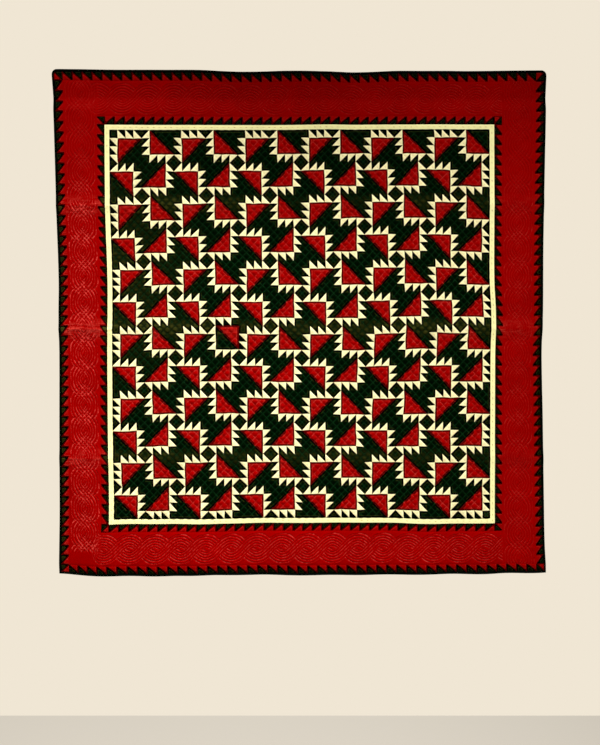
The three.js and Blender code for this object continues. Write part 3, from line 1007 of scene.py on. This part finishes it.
for place, cable in CABLES.items():
    along = along_and_over(place, u, v)[0]
    off_middle = off_panel_middle(place, u, v)
    to_end = (RED_OUTER_HALF if place in SIDES else RED_INNER_HALF) - np.abs(along)
    to_side = RED_BORDER_WIDTH / 2 - np.abs(off_middle)
    on_panel = (to_side > -TINY) & (to_end > TINY)
    back["turn"][on_panel] = cable_turn(place, along)[on_panel]
    back["off_middle"][on_panel] = off_middle[on_panel]
    back["slope"][on_panel] = cable["slope"]
    back["cabled"][(to_side > TINY) & (to_end > BACK_CABLE_END)] = 1
    if place == "left":
        back["cabled"][on_panel & (along > CABLE_END)] = 0
marks = dict(back, off_seam=np.full_like(u, PATCH), fade=rubbed(u, v))
height = BACK_HEIGHT + BACK_DRAWN_IN * (1 - back["crown"])
plain_back = cloth_piece("plain_back", u, v, height, faces, marks, back_cotton)

# The quilting stitches
# Short running stitches by hand, sunk into every row of the quilting: the crossed rows of the centre, the
# middle of the cream frame and the rows of the cable. The thread is matched to the cloth that it lies on.
STITCH_CORNERS = 4
STITCH_FACES = ((0, 3, 1), (2, 1, 3))
STITCH_PITCH = 5 * MM
STITCH_LENGTH = 2.8 * MM
STITCH_WIDTH = 0.6 * MM
STITCH_RISE = 0.5 * MM
STITCH_SUNK_END = 0.1 * MM
STITCH_DRIFT = 0.2 * MM
STITCH_UNEVENNESS = (0.8, 1.15)
CURVE_STEP = 3 * MM
JUST_INSIDE = 1e-6
THREAD_FUZZ = dict(Scale=60, Detail=2)
THREAD_ROUGHNESS = 0.7
THREAD_ROUGHNESS_SPREAD = 0.2
THREAD_GLOSS = 0.15
stitch_chance = np.random.default_rng(seed=60)


def stitches_along(line):
    """Stitches at even gaps along a line on the flat quilt: the two ends and the two sides of each."""
    steps = np.hypot(*np.diff(line, axis=0).T)
    run = np.append(0, np.cumsum(steps))
    count = int(run[-1] / STITCH_PITCH)
    middle = (np.arange(count) + 0.5) * STITCH_PITCH + stitch_chance.normal(0, STITCH_DRIFT, count)
    half = STITCH_LENGTH / 2 * stitch_chance.uniform(*STITCH_UNEVENNESS, count)

    def on_line(distance):
        return np.stack([np.interp(distance, run, line[:, 0]), np.interp(distance, run, line[:, 1])], axis=-1)

    drift = stitch_chance.normal(0, STITCH_DRIFT, (count, 2))
    start = on_line(middle - half) + drift
    end = on_line(middle + half) + drift
    way = (end - start) / np.linalg.norm(end - start, axis=1, keepdims=True)
    sideways = np.stack([-way[:, 1], way[:, 0]], axis=-1) * STITCH_WIDTH / 2
    return np.stack([start, (start + end) / 2 + sideways, end, (start + end) / 2 - sideways], axis=1)


def panel_height(place, u, v):
    """The height of a red panel's cloth at places on it."""
    left, right, low, high = red_spans[place]
    rows, columns = np.subtract(panel_heights[place].shape, 1)
    across = np.clip((u - left) / (right - left), 0, 1) * columns
    down = np.clip((high - v) / (high - low), 0, 1) * rows
    return on_net(panel_heights[place], across, down)


def field_cloth_at(u, v):
    """The cloth of the pieced centre at each place."""
    across, down = np.clip(in_patches(u, v), 0, PATCHES_ACROSS - JUST_INSIDE)
    p = across % 1
    q = down % 1
    upper = np.where(p > q, NORTH, WEST)
    lower = np.where(p > q, EAST, SOUTH)
    quarter = np.where(p + q < 1, upper, lower)
    return field_cloths[down.astype(int), across.astype(int), quarter]


sewn = {cloth: [] for cloth in CLOTHS}


def sew(cloth, stitches, height):
    """Keeps stitches that lie on a cloth, with the height of the cloth under their corners."""
    height = np.broadcast_to(height, stitches.shape[:2])
    sewn[cloth].append(np.concatenate([stitches, height[..., None]], axis=-1))


for number in range(1, 2 * PATCHES_ACROSS):
    low = max(0, number - PATCHES_ACROSS)
    high = min(PATCHES_ACROSS, number)
    ends_across = np.array((low, high)) * PATCH - FIELD_HALF
    ends_down = FIELD_HALF - np.array((number - low, number - high)) * PATCH
    rising = stitches_along(np.stack([ends_across, ends_down], axis=-1))
    falling = stitches_along(np.stack([ends_across, -ends_down], axis=-1))
    for stitches in (rising, falling):
        under = field_cloth_at(*stitches.mean(axis=1).T)
        strayed = on_net(field_wander, *in_patches(stitches[..., 0], stitches[..., 1]))
        stitches = stitches + np.moveaxis(strayed, 0, -1)
        for cloth in CLOTHS:
            sew(cloth, stitches[under == cloth], CLOTH)

middle = (FIELD_HALF + FRAME_HALF) / 2
frame_corners = np.array(((-1, -1), (1, -1), (1, 1), (-1, 1), (-1, -1))) * middle
for start, end in zip(frame_corners[:-1], frame_corners[1:]):
    sew(CREAM, stitches_along(np.stack([start, end])), CLOTH)

for place, (left, right, low, high) in red_spans.items():
    upright = place in SIDES
    ends = (-high, -low) if upright else (left, right)
    along = np.arange(ends[0], CABLE_END if place == "left" else ends[1], CURVE_STEP)
    turn = cable_turn(place, along)
    middle_line = (left + right) / 2 if upright else (low + high) / 2
    for side in (1, -1):
        for row in np.arange(-STRAND_HALF_ROWS, STRAND_HALF_ROWS + 1):
            off_middle = side * CABLE_SWING * np.cos(turn) + row * row_gap(place, turn)
            line = [middle_line + off_middle, -along] if upright else [along, middle_line + off_middle]
            stitches = stitches_along(np.stack(line, axis=-1))
            if CABLES[place]["woven"]:
                at = stitches.mean(axis=1)
                at_turn = cable_turn(place, at[:, 0])
                upper = over_side(at_turn)
                rows = strand_rows(place, at_turn, at[:, 1] - middle_line, upper)
                hidden = (upper != side) & (np.abs(rows) < STRAND_HALF_ROWS)
                stitches = stitches[~hidden]
            sew(RED, stitches, panel_height(place, stitches[..., 0], stitches[..., 1]))


def thread(name, colour, dark):
    """Twisted cotton thread, a little uneven in colour."""
    finish, ply, shader = new_finish(name)
    place = ply.node("ShaderNodeTexCoord", output="Object")
    uneven = ply.node("ShaderNodeTexNoise", sockets=dict(THREAD_FUZZ, Vector=place))
    uneven.mix(dark, colour).feeds(shader, "Base Color")
    (THREAD_ROUGHNESS + THREAD_ROUGHNESS_SPREAD * uneven).feeds(shader, "Roughness")
    shader.inputs["Specular IOR Level"].default_value = THREAD_GLOSS
    return finish


THREADS = {
    GREEN: thread("green_thread", dye(26, 44, 22), dye(12, 24, 10)),
    RED: thread("red_thread", dye(206, 56, 44), dye(170, 22, 16)),
    CREAM: thread("cream_thread", dye(226, 204, 120), dye(206, 180, 96)),
}
for cloth, (colour_name, finish, slot) in CLOTHS.items():
    u, v, height = np.concatenate(sewn[cloth]).reshape(-1, 3).T
    height = height + np.resize((STITCH_SUNK_END, STITCH_RISE), len(u))
    first = np.arange(0, len(u), STITCH_CORNERS)[:, None, None]
    faces = (first + np.array(STITCH_FACES)).reshape(-1, 3)
    cloth_piece(f"{colour_name}_stitches", u, v, height, faces, {}, THREADS[cloth])

# The quilt's size, one square sheet of cloth, 2 * HALF each way
# The patchwork, the back and the binding are sewn together, so the quilt hangs as one sheet, from its top
# edge. It was cut and sewn flat, as a square.
2 * HALF
2 * HALF

# The floor, the light and the camera
# A plain pale floor, two soft lamps high on the left and right, a weak one low in front, one behind for the
# back, and a level camera square to the quilt.
FLOOR_HEIGHT = -2.57
FLOOR_DEPTH = 0.02
FLOOR_REACH = 4.0
AMBIENT_GLOW = 0.12
BACKDROP_GLOW = 1.0
CAMERA_DISTANCE = 3.0
FRONT_STANDS_OFF = 0.008
CAMERA_HEIGHT = -1.195
VIEW_HEIGHT = 2.958
SENSOR = 36.0
PALE = dye(240, 230, 212)
FLOOR_FINISH = {
    "Base Color": dye(105, 101, 94), "Roughness": 0.9, "Emission Color": PALE, "Emission Strength": 0.42,
}

floor_mesh = bpy.data.meshes.new("floor")
floor_corners = [
    (x * FLOOR_REACH, y, FLOOR_HEIGHT) for x, y in
    ((-1, -FLOOR_REACH), (1, -FLOOR_REACH), (1, FLOOR_DEPTH), (-1, FLOOR_DEPTH))
]
floor_mesh.from_pydata(floor_corners, [], [(0, 1, 2, 3)])
floor_finish, _, floor_shader = new_finish("pale_floor")
for key, value in FLOOR_FINISH.items():
    floor_shader.inputs[key].default_value = value
floor_mesh.materials.append(floor_finish)
floor = placed("floor", floor_mesh)


def lamp(name, kind, place, aim, power, **settings):
    """A lamp at a place, aimed at a point, of a power in watts."""
    light = bpy.data.lights.new(name, kind)
    light.energy = power
    for key, value in settings.items():
        setattr(light, key, value)
    holder = placed(name, light)
    holder.location = place
    holder.rotation_euler = (Vector(aim) - Vector(place)).to_track_quat("-Z", "Y").to_euler()


lamp("left_key", "SPOT", place=(-1.2, -2.1, 2.6), aim=(-1.2, 0, -4.5), power=1170,
     spot_size=np.radians(61), spot_blend=1, shadow_soft_size=0.2)
lamp("right_key", "SPOT", place=(1.3, -2.1, 1.8), aim=(-0.3, 0, -4.5), power=740,
     spot_size=np.radians(72), spot_blend=1, shadow_soft_size=0.2)
lamp("low_fill", "AREA", place=(0, -2.6, -2.2), aim=(0, 0, -1.9), power=7, size=1.2)
lamp("rear", "AREA", place=(1.0, 1.9, 1.5), aim=(0, 0, -1.3), power=150, size=0.7)

world = bpy.data.worlds.new("studio")
bpy.context.scene.world = world
world.use_nodes = True
world.node_tree.nodes.clear()
sky = Shade(world.node_tree)
seen = sky.node("ShaderNodeLightPath", output="Is Camera Ray")
glow = sky.node("ShaderNodeBackground", sockets={"Color": PALE, "Strength": AMBIENT_GLOW})
backdrop = sky.node("ShaderNodeBackground", sockets={"Color": PALE, "Strength": BACKDROP_GLOW})
both = sky.node("ShaderNodeMixShader", sockets={0: seen, 1: glow, 2: backdrop})
sky.node("ShaderNodeOutputWorld", sockets={"Surface": both}, output=None)

camera_data = bpy.data.cameras.new("camera")
camera_data.sensor_width = SENSOR
camera_data.lens = SENSOR * CAMERA_DISTANCE / VIEW_HEIGHT
camera = placed("camera", camera_data)
camera.location = (0, -CAMERA_DISTANCE - FRONT_STANDS_OFF, CAMERA_HEIGHT)
camera.rotation_euler = (np.pi / 2, 0, 0)
bpy.context.scene.camera = camera
bpy.context.scene.view_settings.view_transform = "Standard"
